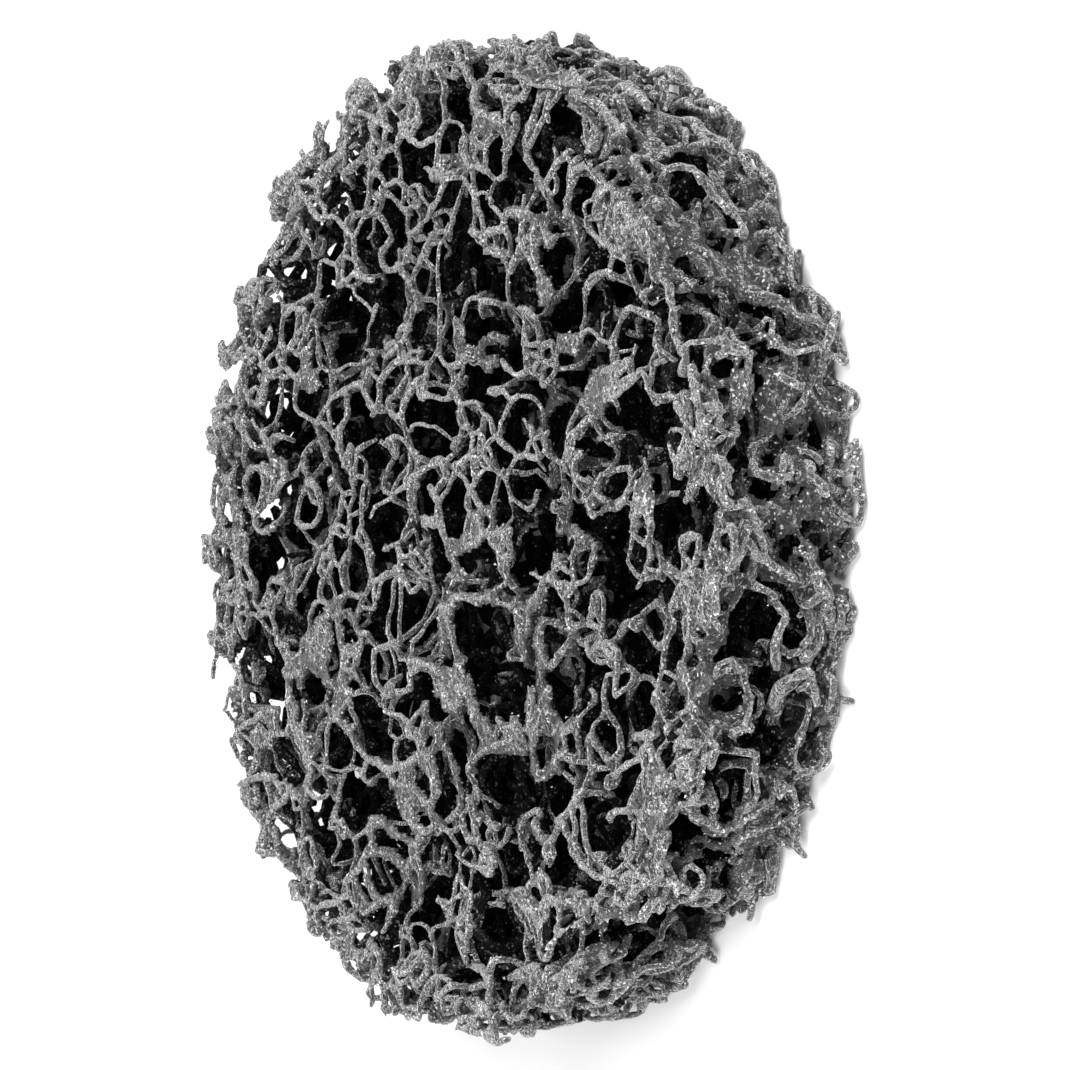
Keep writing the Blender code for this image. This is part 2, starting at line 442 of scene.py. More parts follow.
def knotStrands():
    strands = []
    for number, (height, x, y, size) in enumerate(knots):
        rng = np.random.default_rng(500 + number)
        middle = atHeight(height, x, y)
        for _ in range(knotLook["strands"]):
            turns = np.linspace(0, 2 * math.pi * rng.uniform(*knotLook["turns"]), knotLook["points"])
            one, two = rng.normal(size=(2, 3)) * knotLook["wide"]
            line = middle + rng.normal(size=3) * knotLook["stray"] * size
            line = line + size * (np.outer(np.cos(turns), one) + np.outer(np.sin(turns), two))
            line = withinFaces(drawnIn(line, disc["farthest"] - knotLook["inset"]), knotLook["clear"])
            strands.append(strand("edge_loops", rng.uniform(*knotLook["coat"]), line))
    return strands


# Notches in the cut rim, or bulges where they are below zero: height, place in the frame, how deep, how wide
notches = [
    (3.0, 720, 950, 3.8, 2.6), (2.0, 842, 385, 0.9, 1.8), (2.0, 792, 240, 1.3, 2.6),
    (12.0, 262, 240, 1.0, 1.6), (12.0, 300, 860, 1.0, 1.6), (12.0, 214, 372, 0.6, 0.9),
    (12.0, 208, 472, 0.9, 1.0), (12.0, 210, 340, -1.5, 2.6), (12.0, 205, 425, -1.0, 2.2),
    (12.0, 203, 545, -1.5, 2.8), (12.0, 238, 795, -1.2, 2.6),
]


def notched(angle):
    cut = np.zeros(len(angle))
    for height, x, y, deep, wide in notches:
        place = atHeight(height, x, y)
        turned = (angle - math.atan2(place[1], place[0]) + math.pi) % (2 * math.pi) - math.pi
        away = disc["radius"] * np.abs(turned)
        cut = cut + deep * np.exp(-(away / wide) ** 2)
    return cut


def rimReach(points):
    angle = np.arctan2(points[:, 1], points[:, 0])
    arc = angle * disc["radius"]
    stray = 0.65 * rimRelief.at(arc, points[:, 2]) + 0.35 * rimFine.at(arc, points[:, 2])
    middle, near = disc["thick"] / 2, disc["cornerHeight"]
    corner = np.clip((np.abs(points[:, 2] - middle) - middle + near) / near, 0, 1) ** 2
    return disc["radius"] + disc["beyond"] - notched(angle) + disc["ragged"] * stray - disc["corner"] * corner


cutting = {
    "giveWay": (0.45, 1.0),  # how much of a channel's radius a strand gives
    "stray": (-0.4, 0.7),  # how far a strand's ends lie from the cut
    "more": {"rim_loops": 0.6, "middle_loops": -1.3},
    "tearAt": 3.2,  # steps between points that tear a strand
    "shortest": 2.0,
}


def punched(laid):
    # cuts the strands at the rim and where a channel tore them apart
    kept = []
    rng = np.random.default_rng(17)
    for piece, coat, points in laid:
        points = clearChannels(points.copy(), rng.uniform(*cutting["giveWay"]))
        reach = rimReach(points) + rng.uniform(*cutting["stray"]) + cutting["more"].get(piece, 0.0)
        out = np.hypot(points[:, 0], points[:, 1])
        inside = out < np.minimum(reach, disc["farthest"]) - coat
        step = pieceLooks[piece]["step"]
        torn = np.zeros(len(points), bool)
        torn[1:] = np.linalg.norm(np.diff(points, axis=0), axis=1) > cutting["tearAt"] * step
        start = 0
        for k in range(len(points) + 1):
            if k == len(points) or not inside[k] or torn[k]:
                if k - start >= max(5, cutting["shortest"] / step):
                    kept.append([piece, coat, points[start:k].copy()])
                start = k if k < len(points) and inside[k] else k + 1
    return kept


bonding = {
    "every": 4,  # points between tries
    "within": 1.25,
    "apart": 9,  # points of one strand this near each other don't bond
    "touch": 0.75,  # how near two strands draw, as a share of their coats together
    "reach": 3,  # points to each side that follow
    "rounds": 4,
    "met": 1.1,
    "soft": 0.3,
}


def bondPairs(points, owner):
    # each try's nearest point on another strand, or farther along its own
    tree = KDTree(len(points))
    for index, point in enumerate(points):
        tree.insert(point, index)
    tree.balance()
    pairs = []
    for index in range(0, len(points), bonding["every"]):
        found = None
        for _, other, distance in tree.find_range(points[index], bonding["within"]):
            if owner[other] == owner[index] and abs(other - index) < bonding["apart"]:
                continue
            if found is None or distance < found[0]:
                found = (distance, other)
        if found:
            pairs.append((index, found[1]))
    return np.array(pairs)


def bond(kept):
    # draws strands together where they pass close by, and returns where they meet
    lengths = [len(points) for _, _, points in kept]
    starts = np.concatenate([[0], np.cumsum(lengths)])
    points = np.vstack([points for _, _, points in kept])
    owner = np.repeat(np.arange(len(kept)), lengths)
    coat = np.repeat([coat for _, coat, _ in kept], lengths)
    pairs = bondPairs(points, owner)
    deep = np.repeat([piece == "middle_loops" for piece, _, _ in kept], lengths)
    pairs = pairs[~(deep[pairs[:, 0]] & deep[pairs[:, 1]])]
    together = coat[pairs[:, 0]] + coat[pairs[:, 1]]
    reach = bonding["reach"]
    falloff = 0.5 + 0.5 * np.cos(np.linspace(-math.pi, math.pi, 2 * reach + 1))
    for _ in range(bonding["rounds"]):
        gap = points[pairs[:, 1]] - points[pairs[:, 0]]
        distance = np.maximum(np.linalg.norm(gap, axis=1), 1e-6)
        touching = bonding["touch"] * together
        pull = gap * (np.clip(1 - touching / distance, 0, 1) / 2)[:, None]
        move, weight = np.zeros_like(points), np.zeros(len(points))
        for side, sign in ((0, 1.0), (1, -1.0)):
            for k in range(-reach, reach + 1):
                at = pairs[:, side] + k
                own = owner[pairs[:, side]]
                fits = (at >= starts[own]) & (at < starts[own + 1])
                np.add.at(move, at[fits], sign * falloff[k + reach] * pull[fits])
                np.add.at(weight, at[fits], falloff[k + reach])
        points = points + move / np.maximum(weight, 1)[:, None]
        bottom, top = disc["clearBelow"] * coat, disc["thick"] - disc["clearAbove"] * coat
        points[:, 2] = eased(points[:, 2], bottom, top, bonding["soft"])
    for number in range(len(kept)):
        kept[number][2] = points[starts[number]:starts[number + 1]]
    gap = np.linalg.norm(points[pairs[:, 1]] - points[pairs[:, 0]], axis=1)
    return kept, points, pairs[gap < bonding["met"] * together]


def addObject(name, data):
    made = bpy.data.objects.new(name, data)
    bpy.context.scene.collection.objects.link(made)
    return made


def makeMesh(name, points, faces, smooth=True):
    mesh = bpy.data.meshes.new(name)
    mesh.from_pydata((np.asarray(points) / 1000).tolist(), [], faces)
    mesh.polygons.foreach_set("use_smooth", [smooth] * len(mesh.polygons))
    return addObject(name, mesh)


def triangleCount(piece):
    return sum(len(face.vertices) - 2 for face in piece.data.polygons)


# How the coat lies along and round every filament
coatLook = {
    "spacing": 0.42,
    "fine": (0.2, 1.1),  # how uneven, over what length
    "broad": (0.14, 5.0),
    "atBonds": 0.22,  # how much thicker
    "atEnds": 0.75,  # share of the radius left
    "rough": 0.15,  # how uneven round the filament
    "roughest": 1.8,
    "tip": 0.5,  # how far a rounded end stands out, as a share of the radius
}


def tubes(name, strands, sides, rng):
    # closed round-ended tubes along strands, each given as (points, radii), worked out side by side
    count = np.array([len(points) for points, _ in strands])
    longest = count.max()
    line = np.stack([np.vstack([p, np.repeat(p[-1:], longest - len(p), axis=0)]) for p, _ in strands])
    wide = np.stack([np.concatenate([r, np.repeat(r[-1:], longest - len(r))]) for _, r in strands])
    ahead = np.zeros_like(line)
    ahead[:, 1:-1] = line[:, 2:] - line[:, :-2]
    ahead[:, 0] = line[:, 1] - line[:, 0]
    rows = np.arange(len(strands))
    ahead[rows, count - 1] = line[rows, count - 1] - line[rows, count - 2]
    ahead = ahead / np.maximum(np.linalg.norm(ahead, axis=2, keepdims=True), 1e-9)
    side = np.zeros_like(line)
    first = np.cross(ahead[:, 0], rng.normal(size=(len(strands), 3)))
    for k in range(longest):
        first = first - ahead[:, k] * (first * ahead[:, k]).sum(axis=1, keepdims=True)
        first = first / np.maximum(np.linalg.norm(first, axis=1, keepdims=True), 1e-9)
        side[:, k] = first
    other = np.cross(ahead, side)
    used = np.arange(longest)[None, :] < count[:, None]
    line, wide, ahead, side, other = line[used], wide[used], ahead[used], side[used], other[used]
    angle = np.arange(sides) * 2 * math.pi / sides
    uneven = rng.normal(size=(len(wide), sides)).clip(-coatLook["roughest"], coatLook["roughest"])
    swollen = wide[:, None] * (1 + coatLook["rough"] * uneven)
    ring = side[:, None] * np.cos(angle)[None, :, None] + other[:, None] * np.sin(angle)[None, :, None]
    points = (line[:, None] + ring * swollen[:, :, None]).reshape(-1, 3)

    # walls between neighbouring rings, then a fan from each tip
    starts = np.concatenate([[0], np.cumsum(count)[:-1]])
    lasts = np.cumsum(count) - 1
    through = np.ones(len(line), bool)
    through[lasts] = False
    k = np.arange(sides)
    low = np.flatnonzero(through)[:, None] * sides + k[None, :]
    turned = np.flatnonzero(through)[:, None] * sides + (k[None, :] + 1) % sides
    walls = np.stack([low, turned, turned + sides, low + sides], axis=2).reshape(-1, 4)
    startTips = line[starts] - ahead[starts] * wide[starts, None] * coatLook["tip"]
    endTips = line[lasts] + ahead[lasts] * wide[lasts, None] * coatLook["tip"]
    startAt = np.repeat(len(points) + rows[:, None], sides, axis=1)
    endAt = startAt + len(strands)
    here, after = starts[:, None] * sides + k, starts[:, None] * sides + (k + 1) % sides
    startCaps = np.stack([after, here, startAt], axis=2).reshape(-1, 3)
    here, after = lasts[:, None] * sides + k, lasts[:, None] * sides + (k + 1) % sides
    endCaps = np.stack([here, after, endAt], axis=2).reshape(-1, 3)
    points = np.vstack([points, startTips, endTips])
    return makeMesh(name, points, walls.tolist() + startCaps.tolist() + endCaps.tolist())


def coatedRadii(rng, points, coat, swell):
    # the coat swells where filaments are bonded, and lies uneven between
    run = np.arange(len(points)) * coatLook["spacing"]
    (fine, fineEvery), (broad, broadEvery) = coatLook["fine"], coatLook["broad"]
    radii = coat * (1 + fine * drift(rng, run, fineEvery) + broad * drift(rng, run, broadEvery))
    radii = radii * (1 + coatLook["atBonds"] * swell)
    radii[0] *= coatLook["atEnds"]
    radii[-1] *= coatLook["atEnds"]
    return radii


kept = punched(layerStrands() + rimStrands() + edgeStrands()) + strayStrands() + knotStrands()
print("strands", len(kept))
kept, webPoints, met = bond(kept)
print("bonds", len(met))

swell = np.zeros(len(webPoints))
for shift, share in ((0, 1.0), (-1, 0.6), (1, 0.6)):
    at = np.clip(met.ravel() + shift, 0, len(webPoints) - 1)
    swell[at] = np.maximum(swell[at], share)
swells = np.split(swell, np.cumsum([len(points) for _, _, points in kept])[:-1])

loopPieces = {}
for piece, look in pieceLooks.items():
    rng = np.random.default_rng(len(piece))
    strands = [(points, coatedRadii(rng, points, coat, swells[k]))
               for k, (name, coat, points) in enumerate(kept) if name == piece]
    loopPieces[piece] = tubes(piece, strands, look["sides"], rng)
    print(piece, len(strands), "strands", triangleCount(loopPieces[piece]), "triangles")


# What all resin skins share where they hang between strands
drape = {
    "jitter": 0.3,  # how far the grid's points stray, as a share of a cell
    "squash": 0.8,  # how much depth counts when the nearest strands are sought
    "nearest": 5,  # strand points that set the depth
    "closest": 3,  # those of them that have to be near enough
    "soften": 0.04,
    "patchGain": 1.3,  # how far a patch reaches across gaps
    "steepest": 0.75,
    "waveShift": 9,
}


def skinOver(name, u, v, placeAt, lineAt, points, look):
    # a pitted skin of resin that hangs between strands, on a grid of two surface directions
    tree = KDTree(len(points))
    line = lineAt(points)
    for index, (a, b, c) in enumerate(line):
        tree.insert((a, b, c * drape["squash"]), index)
    tree.balance()
    rng = np.random.default_rng(look["seed"])
    cover, fine = Relief(look["seed"] + 1, look["patch"]), Relief(look["seed"] + 2, look["hole"])
    rows, columns = len(u), len(v)
    a, b = np.meshgrid(u, v, indexing="ij")
    jitter = drape["jitter"]
    a = a + rng.uniform(-jitter, jitter, a.shape) * look["cell"]
    b = b + rng.uniform(-jitter, jitter, b.shape) * look["cell"]
    depth = np.zeros(a.shape)
    near = np.zeros(a.shape)
    for i in range(rows):
        for j in range(columns):
            found = tree.find_n((a[i, j], b[i, j], look["level"] * drape["squash"]), drape["nearest"])
            gap = np.array([distance for _, _, distance in found])
            at = line[[index for _, index, _ in found]]
            flat = np.hypot(at[:, 0] - a[i, j], at[:, 1] - b[i, j])
            weight = 1 / (flat**2 + drape["soften"])
            depth[i, j] = (weight * at[:, 2]).sum() / weight.sum()
            near[i, j] = flat[np.argsort(gap)[:drape["closest"]]].mean()

    # the skin hangs where strands are near enough, or in a patch, and never as a lone or steep cell
    wish = look["spread"] * (0.5 + 0.5 * cover.at(a, b)) ** look["sharp"] + look["least"]
    wish = wish + look["holes"] * fine.at(a, b)
    for x, y, size in look["patches"]:
        wish = wish + drape["patchGain"] * np.exp(-(((a - x) ** 2 + (b - y) ** 2) / size**2) ** 2)
    fits = (near < wish) & look["within"](a, b, depth)
    depth = depth + look["rough"] * rng.normal(size=depth.shape)
    depth = depth + look["wave"] * fine.at(a + drape["waveShift"], b)
    cells = fits[:-1, :-1] & fits[1:, :-1] & fits[1:, 1:] & fits[:-1, 1:]
    corners = np.stack([depth[:-1, :-1], depth[1:, :-1], depth[1:, 1:], depth[:-1, 1:]])
    cells &= corners.max(axis=0) - corners.min(axis=0) < drape["steepest"]
    for _ in range(3):
        beside = np.zeros(cells.shape, int)
        beside[1:] += cells[:-1]
        beside[:-1] += cells[1:]
        beside[:, 1:] += cells[:, :-1]
        beside[:, :-1] += cells[:, 1:]
        cells &= beside >= 2

    number = np.arange(rows * columns).reshape(rows, columns)
    faces = np.stack([number[:-1, :-1], number[1:, :-1], number[1:, 1:], number[:-1, 1:]], axis=2)[cells]
    used, faces = np.unique(faces, return_inverse=True)
    faces = faces.reshape(-1, 4)
    places = placeAt(a.ravel()[used], b.ravel()[used], depth.ravel()[used])
    sheet = makeMesh(name, places, faces.tolist())
    smooth = sheet.modifiers.new("even", "SMOOTH")
    smooth.factor = 0.5
    smooth.iterations = 1
    thick = sheet.modifiers.new("thick", "SOLIDIFY")
    thick.thickness = look["thick"] / 1000
    thick.offset = 0.0
    bpy.context.view_layer.update()
    graph = bpy.context.evaluated_depsgraph_get()
    sheet.data = bpy.data.meshes.new_from_object(sheet.evaluated_get(graph))
    sheet.modifiers.clear()
    print(name, triangleCount(sheet), "triangles")
    return sheet, places


def fromFace(a, b, depth):
    return np.stack([a, b, disc["thick"] + depth], axis=1)


def toFace(points):
    return points - np.array((0, 0, disc["thick"]))


def fromRim(a, b, depth):
    out, angle = disc["radius"] + depth, a / disc["radius"]
    return upright(out, angle, b)


def toRim(points):
    out = np.hypot(points[:, 0], points[:, 1])
    angle = np.arctan2(points[:, 1], points[:, 0])
    return np.stack([angle * disc["radius"], points[:, 2], out - disc["radius"]], axis=1)


def faceSkin(name, look):
    half = disc["radius"] + 1.0
    cells = np.arange(-half, half, look["cell"])
    rise = webPoints[:, 2]
    near = (rise > disc["thick"] - look["lowest"]) & (rise < disc["thick"] - look["highest"])
    return skinOver(name, cells, cells, fromFace, toFace, webPoints[near], look)


def rimSkin(name, look):
    around = np.arange(-math.pi, math.pi, look["cell"] / disc["radius"]) * disc["radius"]
    rise = np.arange(0.5, disc["thick"] - 0.4, look["cell"])
    near = np.hypot(webPoints[:, 0], webPoints[:, 1]) > disc["radius"] - look["deepest"]
    return skinOver(name, around, rise, fromRim, toRim, webPoints[near], look)


# Places in the frame where resin fills corners and small pores near the upper face, with their size
patchPlaces = [
    (701, 465, 1.8), (711, 578, 2.0), (685, 685, 1.7), (642, 802, 2.4), (690, 190, 2.4), (578, 48, 2.2),
    (439, 166, 1.5), (449, 556, 1.6), (310, 653, 2.3), (439, 695, 1.3), (590, 390, 1.8), (620, 215, 2.0),
    (650, 975, 2.6), (470, 110, 1.6), (540, 290, 1.5), (640, 490, 1.5), (300, 380, 1.7), (560, 345, 1.2),
    (680, 610, 1.5), (400, 800, 1.4), (560, 890, 1.5),
]

# Resin skins hang from the strands between two depths. Patch and hole are the lengths over which they
# come and go, least and spread how near strands have to be, and rough and wave how uneven they lie
upperSkinLook = {
    "seed": 31, "cell": 0.27, "highest": 0.0, "lowest": 3.4, "level": -0.8, "thick": 0.30,
    "patch": 7.0, "hole": 1.1, "spread": 0.75, "sharp": 2.0, "least": 0.16, "holes": 0.22,
    "rough": 0.05, "wave": 0.10,
    "patches": [tuple(atHeight(disc["thick"], x, y)[:2]) + (size,) for x, y, size in patchPlaces],
    "within": lambda a, b, depth: np.hypot(a, b) < 37.0 + 0.5 * rimFine.at(a, b),
}
upperSkin, upperSkinPlaces = faceSkin("upper_resin", upperSkinLook)

# Thinner dusty films that hang deeper between the filaments
innerSkinLook = {
    "seed": 61, "cell": 0.34, "highest": 1.8, "lowest": 5.2, "level": -3.0, "thick": 0.22,
    "patch": 5.0, "hole": 1.3, "spread": 0.80, "sharp": 1.0, "least": 0.20, "holes": 0.34,
    "rough": 0.07, "wave": 0.25, "patches": [],
    "within": lambda a, b, depth: (np.hypot(a, b) < 36.6) & (depth < -1.7),
}
innerSkin, _ = faceSkin("inner_resin", innerSkinLook)

# The rim's skin, with its depths from the rim
rimSkinLook = {
    "seed": 41, "cell": 0.3, "deepest": 3.2, "level": -1.0, "thick": 0.32,
    "patch": 6.0, "hole": 1.2, "spread": 0.95, "sharp": 1.3, "least": 0.29, "holes": 0.38,
    "rough": 0.06, "wave": 0.16, "patches": [],
    "within": lambda a, b, depth: depth < 0.6,
}
rimSkinPiece, rimSkinPlaces = rimSkin("rim_resin", rimSkinLook)

# How many grains stick to each kind of piece, and how large they are
grain = {
    "outer": 14000, "inner": 5500, "resin": 7500,
    "sizes": (0.05, 0.12),
    "corners": (0.5, 1.0),  # how far a corner stands out, as a share of the size
    "upward": 0.5,  # how much more grains stick to the upper side of a strand
    "sunk": 0.95,  # how far from a strand's middle, as a share of its coat
    "astray": 0.05, "astrayOnResin": 0.09,
    "aboveFloor": 0.15, "belowFace": 0.05,
}


def grainPlaces(rng, count, names):
    picked = [(coat, points) for name, coat, points in kept if name in names]
    spots = np.vstack([points for _, points in picked])
    coats = np.concatenate([np.full(len(points), coat) for coat, points in picked])
    at = rng.integers(0, len(spots), count)
    way = rng.normal(size=(count, 3)) + np.array((0, 0, grain["upward"]))
    way = way / np.linalg.norm(way, axis=1, keepdims=True)
    return spots[at] + way * coats[at, None] * grain["sunk"] + rng.normal(size=(count, 3)) * grain["astray"]


def resinPlaces(rng, count, places):
    at = rng.integers(0, len(places), count)
    return places[at] + rng.normal(size=(count, 3)) * grain["astrayOnResin"]


def grains(name, places, sizes, rng):
    # small sharp crystals, four faces each, turned every way
    corners = np.array(((1, 1, 1), (1, -1, -1), (-1, 1, -1), (-1, -1, 1)), float)
    triangles = np.array(((0, 1, 2), (0, 3, 1), (0, 2, 3), (1, 3, 2)))
    count = len(places)
    turn = rng.normal(size=(count, 3, 3))
    one = turn[:, 0] / np.linalg.norm(turn[:, 0], axis=1, keepdims=True)
    two = turn[:, 1] - (turn[:, 1] * one).sum(axis=1, keepdims=True) * one
    two = two / np.linalg.norm(two, axis=1, keepdims=True)
    three = np.cross(one, two)
    local = corners[None] * rng.uniform(*grain["corners"], (count, 4, 1)) * sizes[:, None, None]
    x, y, z = local[:, :, :1], local[:, :, 1:2], local[:, :, 2:]
    turned = x * one[:, None] + y * two[:, None] + z * three[:, None]
    points = (places[:, None] + turned).reshape(-1, 3)
    faces = (np.arange(count)[:, None, None] * 4 + triangles[None]).reshape(-1, 3)
    return makeMesh(name, points, faces.tolist(), smooth=False)


rng = np.random.default_rng(51)
outerNames = ("face_loops", "second_loops", "rim_loops", "edge_loops", "back_loops")
spots = np.vstack([
    grainPlaces(rng, grain["outer"], outerNames),
    grainPlaces(rng, grain["inner"], ("middle_loops", "second_loops")),
    resinPlaces(rng, grain["resin"], np.vstack([upperSkinPlaces, rimSkinPlaces])),
])
spots[:, 2] = np.clip(spots[:, 2], grain["aboveFloor"], disc["thick"] - grain["belowFace"])
grainPiece = grains("abrasive_grains", spots, rng.uniform(*grain["sizes"], len(spots)), rng)
print("abrasive_grains", triangleCount(grainPiece), "triangles")


class Shade:
    # a node socket that arithmetic can be done with
    def __init__(self, tree, socket=None):
        self.tree = tree
        self.socket = socket

    def node(self, kind, settings=None, values=None, output=0):
        made = self.tree.nodes.new(kind)
        for name, value in (settings or {}).items():
            setattr(made, name, value)
        for name, value in (values or {}).items():
            if isinstance(value, Shade):
                self.tree.links.new(value.socket, made.inputs[name])
            else:
                made.inputs[name].default_value = value
        return Shade(self.tree, made.outputs[output])

    def also(self, output):
        # another output of the same node
        return Shade(self.tree, self.socket.node.outputs[output])

    def math(self, operation, first, second=0.0, clamp=False):
        settings = {"operation": operation, "use_clamp": clamp}
        return self.node("ShaderNodeMath", settings, {0: first, 1: second})

    def __add__(self, other):
        return self.math("ADD", self, other)

    def __radd__(self, other):
        return self.math("ADD", other, self)

    def __sub__(self, other):
        return self.math("SUBTRACT", self, other)

    def __rsub__(self, other):
        return self.math("SUBTRACT", other, self)

    def __mul__(self, other):
        return self.math("MULTIPLY", self, other)

    def __rmul__(self, other):
        return self.math("MULTIPLY", other, self)

    def __pow__(self, other):
        return self.math("POWER", self, other)

    def held(self, low, high):
        # this value run from 0 at low to 1 at high
        return self.math("MULTIPLY", self - low, 1 / (high - low), clamp=True)

    def grey(self):
        return self.node("ShaderNodeCombineColor", None, {0: self, 1: self, 2: self})


def newMaterial(name):
    material = bpy.data.materials.new(name)
    material.use_nodes = True
    return material, material.node_tree, material.node_tree.nodes["Principled BSDF"]


def inwardDepth(place):
    # how far a place lies inside the disc's faces and rim
    apart = place.node("ShaderNodeSeparateXYZ", None, {0: place})
    rise = apart.also(2)
    out = (apart.also(0) ** 2.0 + apart.also(1) ** 2.0) ** 0.5
    fromFaces = place.math("MINIMUM", rise, disc["thick"] - rise)
    return place.math("MINIMUM", disc["radius"] + 0.4 - out, fromFaces)


# How every coat is mixed. Scales are cells in a millimetre, ranges run from none to all of a noise or
# depth, and a share gives the least that is left and what is added to it at most
coatMix = {
    "lumpRange": (0.34, 0.66), "lumpPower": 1.3,
    "gritShare": (0.15, 1.55),
    "patchScale": 0.55, "patchRange": (0.34, 0.66), "patchShare": (0.35, 1.15),
    "regionScale": 0.16, "regionRange": (0.35, 0.65), "regionShare": (0.7, 0.6),
    "shadeDepths": (0.3, 2.3), "shadePower": 0.7,
    "dustAndGlintGrains": (0.84, 0.93),  # the brightest grains: dust, and painted glints
    "cloudScale": 0.9, "cloudRange": (0.42, 0.62), "cloudShare": (0.35, 1.2),
    "dustAndGlintDepths": (0.35, 5.0),
    "poreRange": (0.42, 0.54), "poreVaries": 0.32, "holeRange": (0.57, 0.66),
    "sheenRough": 0.3,
}


def coatMaterial(name, look):
    # filament and resin under a coat of grit and dust: lumps, painted glints, pores and pits painted dark as
    # painted shade, and painted shade that deepens the deeper it lies
    material, tree, shader = newMaterial(name)
    start = Shade(tree)
    place = start.node("ShaderNodeTexCoord", None, None, 3)
    place = start.node("ShaderNodeVectorMath", {"operation": "SCALE"}, {0: place, 3: 1000.0})

    def noise(scale, detail=3.0, rough=0.6):
        values = {"Vector": place, "Scale": scale, "Detail": detail, "Roughness": rough}
        return start.node("ShaderNodeTexNoise", None, values)

    def cells(scale):
        # how far the nearest cell's middle is, and a value of its own for each cell
        away = start.node("ShaderNodeTexVoronoi", None, {"Vector": place, "Scale": scale}, 0)
        return away, start.node("ShaderNodeSeparateColor", None, {0: away.also(1)})

    def share(least, most, value):
        return least + most * value

    mix = coatMix
    gritAway, grit = cells(look["gritScale"])
    poreAway, poreSize = cells(look["poreScale"])
    lump = noise(look["lumpScale"])
    inward = inwardDepth(place)
    lumps = lump.held(*mix["lumpRange"]) ** mix["lumpPower"]
    patches = noise(mix["patchScale"], 2.0).held(*mix["patchRange"])
    regions = noise(mix["regionScale"], 1.0).held(*mix["regionRange"])
    clouds = noise(mix["cloudScale"], 2.0).held(*mix["cloudRange"])
    tone = look["dark"] + (look["light"] - look["dark"]) * lumps
    tone = tone * share(*mix["gritShare"], grit)
    tone = tone * share(*mix["patchShare"], patches) * share(*mix["regionShare"], regions)
    # painted shade: the coat darkens the deeper it lies inside the faces and rim, where little light reaches
    tone = tone * (1.0 - look["shaded"] * inward.held(*mix["shadeDepths"]) ** mix["shadePower"])
    # dust and painted glints: the brightest grit cells are lit up in clouds, and painted shade dims them less
    # with depth than the coat
    dustAndGlint = grit.held(*mix["dustAndGlintGrains"]) * look["dustAndGlint"] * share(*mix["cloudShare"], clouds)
    tone = tone + dustAndGlint * (1.0 - look["dustAndGlintShaded"] * inward.held(*mix["dustAndGlintDepths"]))
    # painted shade: pores and pits are darkened in the colour, and sunk in the bump
    pore = 1.0 - (poreAway + mix["poreVaries"] * poreSize).held(*mix["poreRange"])
    pore = start.math("MAXIMUM", noise(look["poreScale"], 2.0, 0.5).held(*mix["holeRange"]), pore)
    tone = tone * (1.0 - look["pores"] * pore)
    tree.links.new(tone.grey().socket, shader.inputs["Base Color"])

    rough = look["rough"] + 0.25 * (lump - 0.5) - 0.2 * grit.held(0.8, 0.95)
    tree.links.new(rough.socket, shader.inputs["Roughness"])
    height = noise(look["gritScale"] * 0.75, 3.0, 0.7) + 0.6 * lump - 0.5 * gritAway - look["pores"] * pore
    values = {"Strength": look["bump"], "Distance": look["bumpDepth"], "Height": height}
    bump = start.node("ShaderNodeBump", None, values)
    tree.links.new(bump.socket, shader.inputs["Normal"])
    shader.inputs["Specular IOR Level"].default_value = look["specular"]
    shader.inputs["Sheen Weight"].default_value = look["sheen"]
    shader.inputs["Sheen Roughness"].default_value = mix["sheenRough"]
    return material


fibreLook = {
    "dark": 0.012, "light": 0.195,  # tone of the coat between its lumps and on them
    # how bright the dust and painted glints are, and how much painted shade dims them and the coat deep
    # inside
    "dustAndGlint": 0.47, "dustAndGlintShaded": 0.86, "shaded": 0.985,
    "gritScale": 6.8, "lumpScale": 2.6, "poreScale": 2.1, "pores": 0.6,  # scales are cells in a millimetre
    "rough": 0.5, "specular": 0.45, "sheen": 0.7,
    "bump": 1.0, "bumpDepth": 0.00036,
}
resinLook = dict(
    fibreLook, dark=0.025, light=0.28, gritScale=5.8, lumpScale=3.4, poreScale=1.9, pores=0.9,
    rough=0.55, sheen=0.2, bumpDepth=0.00044)
# painted shade: a darker, duller copy of the fibre for the deep middle filaments, where little light reaches
shadedInnerFibreLook = dict(fibreLook, dark=0.005, light=0.05, dustAndGlint=0.16, rough=0.85, specular=0.06, sheen=0.0)
filmLook = dict(resinLook, dark=0.0, light=0.24, shaded=0.82, pores=0.95, sheen=0.1)
rimCoatLook = dict(resinLook, dark=0.005, light=0.22, pores=0.97, sheen=0.08)
grainLook = dict(
    fibreLook, dark=0.10, light=0.42, gritScale=3.0, lumpScale=1.6, pores=0.0, shaded=0.75,
    rough=0.35, sheen=0.0, bump=0.3)

coatedFibre = coatMaterial("coated_fibre", fibreLook)
dressed = {
    piece: coatMaterial("shaded_inner_fibre", shadedInnerFibreLook) if name == "middle_loops" else coatedFibre
    for name, piece in loopPieces.items()
}
dressed[upperSkin] = coatMaterial("coated_resin", resinLook)
dressed[innerSkin] = coatMaterial("dusty_film", filmLook)
dressed[rimSkinPiece] = coatMaterial("rim_coat", rimCoatLook)
dressed[grainPiece] = coatMaterial("grit", grainLook)

for piece, material in dressed.items():
    piece.data.materials.append(material)
    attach(piece, "root")
    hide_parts("filament_web")
print("pieces dressed")

# The stage: sizes and places are in metres
stageLook = {
    "half": 6.0,
    "drop": 0.00002,  # the floor lies this far under the disc
    "tone": 0.86,
    "rough": 0.9,
    "nearWhite": (0.6, disc["radius"] - 0.5, disc["radius"] + 2.5),  # share, from and to, in millimetres
    "farWhite": (0.4, 80.0, 300.0),
    "ambient": 0.22,
    "aim": (0, 0, 0.006),
}
lamps = [
    {"name": "key", "place": (0.24, -0.24, 0.41), "size": 0.34, "power": 5.25},
    {"name": "fill", "place": (-0.32, -0.32, 0.29), "size": 0.34, "power": 3.4},
]


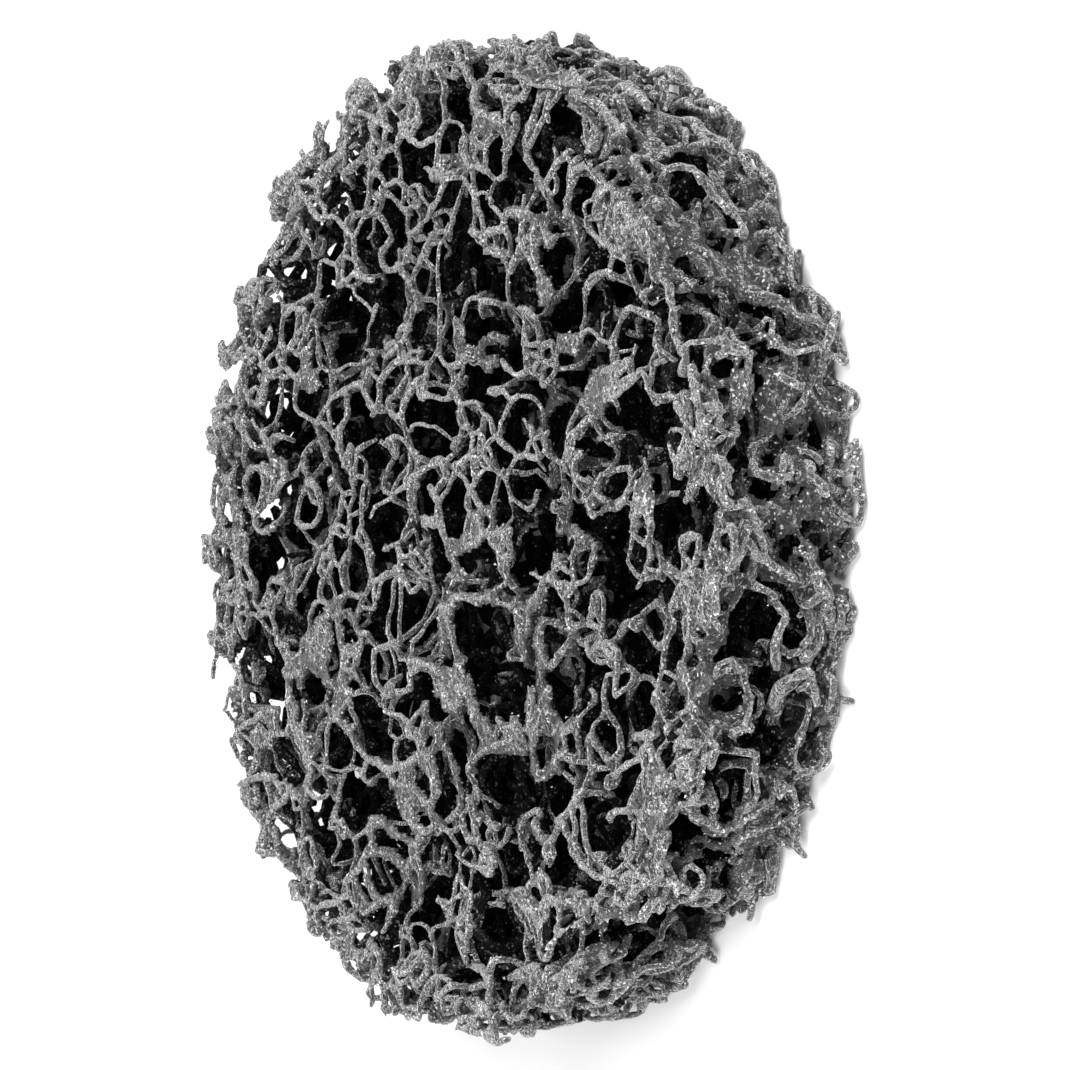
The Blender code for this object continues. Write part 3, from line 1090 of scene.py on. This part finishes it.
def floorMaterial():
    # pale, and partly white to the camera round the disc, so that the shadow stays light
    material, tree, shader = newMaterial("pale_floor")
    shader.inputs["Base Color"].default_value = (stageLook["tone"],) * 3 + (1.0,)
    shader.inputs["Roughness"].default_value = stageLook["rough"]
    start = Shade(tree)
    white = start.node("ShaderNodeEmission", None, {"Color": (1.0, 1.0, 1.0, 1.0), "Strength": 1.0})
    seen = start.node("ShaderNodeLightPath", None, None, 0)
    place = start.node("ShaderNodeTexCoord", None, None, 3)
    out = start.node("ShaderNodeVectorMath", {"operation": "LENGTH"}, {0: place}, 1) * 1000.0
    (near, nearLow, nearHigh), (far, farLow, farHigh) = stageLook["nearWhite"], stageLook["farWhite"]
    seen = seen * (near * out.held(nearLow, nearHigh) + far * out.held(farLow, farHigh))
    shaded = Shade(tree, shader.outputs["BSDF"])
    mixed = start.node("ShaderNodeMixShader", None, {0: seen, 1: shaded, 2: white})
    tree.links.new(mixed.socket, tree.nodes["Material Output"].inputs["Surface"])
    return material


def makeFloor():
    half = stageLook["half"]
    mesh = bpy.data.meshes.new("floor")
    corners = [(-half, -half, 0), (half, -half, 0), (half, half, 0), (-half, half, 0)]
    mesh.from_pydata(corners, [], [(0, 1, 2, 3)])
    mesh.materials.append(floorMaterial())
    floor = addObject("floor", mesh)
    floor.location.z = -stageLook["drop"]


def makeWorld():
    # soft all round, and plain white wherever it is seen
    world = bpy.data.worlds.new("studio")
    world.use_nodes = True
    bpy.context.scene.world = world
    tree = world.node_tree
    background = tree.nodes["Background"]
    background.inputs["Color"].default_value = (1.0, 1.0, 1.0, 1.0)
    path = tree.nodes.new("ShaderNodeLightPath")
    seen = Shade(tree, path.outputs["Is Camera Ray"]) + Shade(tree, path.outputs["Is Glossy Ray"])
    seen = seen + Shade(tree, path.outputs["Is Transmission Ray"])
    strength = stageLook["ambient"] + (1 - stageLook["ambient"]) * seen.math("MINIMUM", seen, 1.0)
    tree.links.new(strength.socket, background.inputs["Strength"])


def addLamp(look):
    light = bpy.data.lights.new(look["name"], "AREA")
    light.energy = look["power"]
    light.size = look["size"]
    lamp = addObject(look["name"], light)
    lamp.location = look["place"]
    toLamp = Vector(look["place"]) - Vector(stageLook["aim"])
    lamp.rotation_euler = toLamp.to_track_quat("Z", "Y").to_euler()


def addCamera():
    data = bpy.data.cameras.new("camera")
    data.sensor_width = shot["sensorWidth"]
    data.lens = focalPixels / shot["framePixels"] * shot["sensorWidth"]
    data.clip_start = 0.01
    camera = addObject("camera", data)
    turn = Matrix((eyeRight, eyeUp, eyeBack)).transposed()
    camera.matrix_world = Matrix.Translation(Vector(eye) / 1000) @ turn.to_4x4()
    bpy.context.scene.camera = camera


makeFloor()
makeWorld()
addCamera()
for look in lamps:
    addLamp(look)
bpy.context.scene.view_settings.view_transform = "Standard"
print("stage set")
